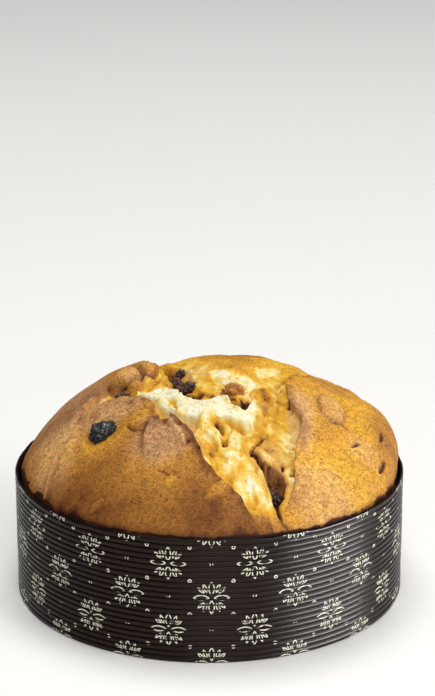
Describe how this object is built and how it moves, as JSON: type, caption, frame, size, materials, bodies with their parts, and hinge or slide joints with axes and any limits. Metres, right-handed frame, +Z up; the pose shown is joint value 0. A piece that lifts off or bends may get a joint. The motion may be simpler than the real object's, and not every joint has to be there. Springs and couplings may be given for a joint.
{
  "type": "panettone",
  "caption": "Low domed sweet bread with a cross-cut top torn open over pale crumb, in a ribbed paper case.",
  "frame": {"origin": "centre of the case's flat underside", "axes": "+Z up, -Y towards the viewer of the picture, +X to the viewer's right"},
  "size_m": [0.21, 0.21, 0.1232],
  "materials": {
    "crust": "matt golden-brown baked crust with pale yellow crumb where it is torn",
    "paper": "dark brown corrugated baking paper with a cream printed flower pattern",
    "raisin": "dark wrinkled dried fruit, one piece paler and candied"
  },
  "bodies": {
    "root": {"loaf": "crust", "paper_case": "paper", "raisin_lobe": "raisin", "raisin_cavity_top": "raisin", "raisin_cavity_side": "raisin", "raisin_cavity": "raisin", "fruit_middle": "raisin", "raisin_left": "raisin", "raisin_fissure": "raisin"}
  },
  "joints": []
}
